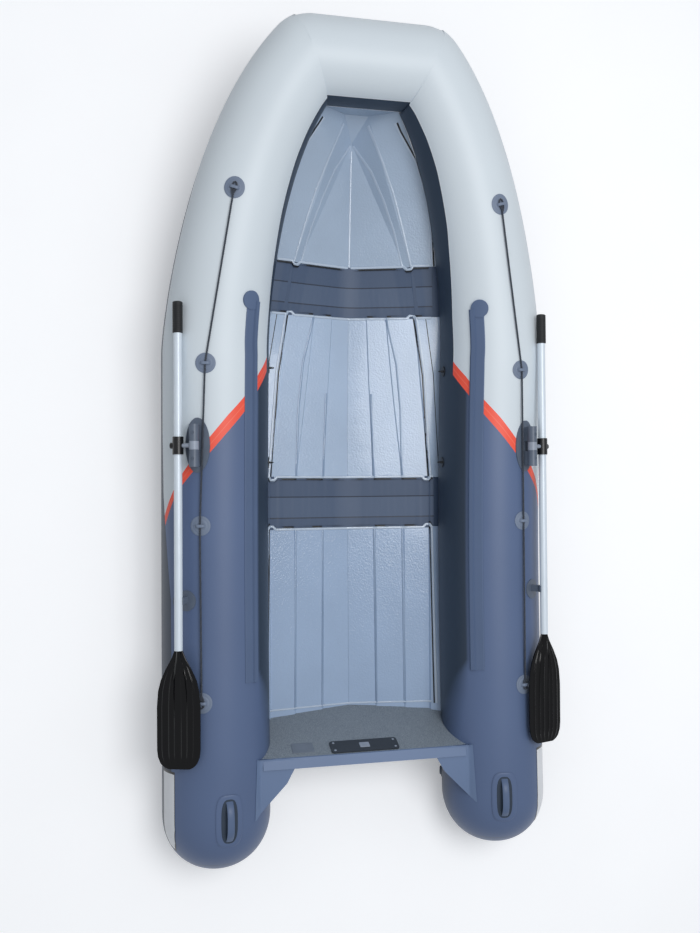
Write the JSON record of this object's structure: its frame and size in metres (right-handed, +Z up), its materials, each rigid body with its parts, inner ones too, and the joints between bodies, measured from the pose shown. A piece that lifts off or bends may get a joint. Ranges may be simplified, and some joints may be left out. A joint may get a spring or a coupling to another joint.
{
  "type": "rigid inflatable boat",
  "caption": "Folding rigid inflatable boat: tapered air tubes in a U round a V hull moulded in three sections, with transom, seat rails, lifelines and hinged stowed oars.",
  "frame": {"origin": "on the centre plane at the waterline, below the aftermost point of the tubes", "axes": "+Y to the bow, +X to starboard, +Z up"},
  "size_m": [1.7726, 3.6002, 0.712],
  "materials": {
    "tube_fabric_pale": "satin coated fabric",
    "tube_fabric_slate": "satin coated fabric",
    "tube_fabric_navy": "satin coated fabric",
    "stripe_fabric": "satin coated fabric",
    "strake_rubber": "satin",
    "rail_plastic": "satin",
    "gelcoat": "glossy, fine orange peel",
    "joint_fabric": "matte coated",
    "transom_board": "speckled satin",
    "black_plastic": "satin",
    "grey_plastic": "satin",
    "grip_rubber": "matte",
    "aluminium": "satin anodised",
    "rope": "twisted rope",
    "steel": "polished"
  },
  "bodies": {
    "boat": {"tube_port": "tube_fabric_pale", "tube_starboard": "tube_fabric_pale", "tube_end_cap_port": "tube_fabric_slate", "tube_end_cap_starboard": "tube_fabric_slate", "tube_bow": "tube_fabric_pale", "rub_strake_port": "strake_rubber", "rub_strake_starboard": "strake_rubber", "rub_strake_bow": "strake_rubber", "seat_rail_port": "rail_plastic", "seat_rail_starboard": "rail_plastic", "hull_stern": "gelcoat", "hull_mid": "gelcoat", "hull_bow": "gelcoat", "hull_joint_aft": "joint_fabric", "hull_joint_forward": "joint_fabric", "keel_guards": "strake_rubber", "transom": "transom_board", "motor_pad_inner": "black_plastic", "motor_pad_outer": "black_plastic", "knee_port": "tube_fabric_slate", "knee_starboard": "tube_fabric_slate", "lifeline_rings_port": "black_plastic", "lifeline_rings_starboard": "black_plastic", "lifeline_port": "rope", "lifeline_starboard": "rope", "handle_port": "black_plastic", "handle_starboard": "black_plastic", "oarlock_port": "grey_plastic", "oarlock_starboard": "grey_plastic", "oar_clip_port": "grey_plastic", "oar_clip_starboard": "grey_plastic", "tie_rings": "black_plastic", "air_valves": "grey_plastic", "towing_eye": "steel", "drain_plug": "black_plastic"},
    "oar_port": {"oarlock_knuckle_port": "grey_plastic", "oar_grip_port": "grip_rubber", "oar_shaft_upper_port": "aluminium", "oar_shaft_lower_port": "aluminium", "oar_collar_port": "black_plastic", "oar_nut_port": "black_plastic", "oar_blade_port": "black_plastic"},
    "oar_starboard": {"oarlock_knuckle_starboard": "grey_plastic", "oar_grip_starboard": "grip_rubber", "oar_shaft_upper_starboard": "aluminium", "oar_shaft_lower_starboard": "aluminium", "oar_collar_starboard": "black_plastic", "oar_nut_starboard": "black_plastic", "oar_blade_starboard": "black_plastic"}
  },
  "joints": [
    {"name": "oar_lift_port", "type": "hinge", "parent": "boat", "child": "oar_port", "pos_m": [-0.73784, 1.7815, 0.45957], "axis": [0, 0.9996, 0.0297], "range_deg": [0, 120]},
    {"name": "oar_lift_starboard", "type": "hinge", "parent": "boat", "child": "oar_starboard", "pos_m": [0.73784, 1.7815, 0.45957], "axis": [0, -0.9996, -0.0297], "range_deg": [0, 120]}
  ]
}
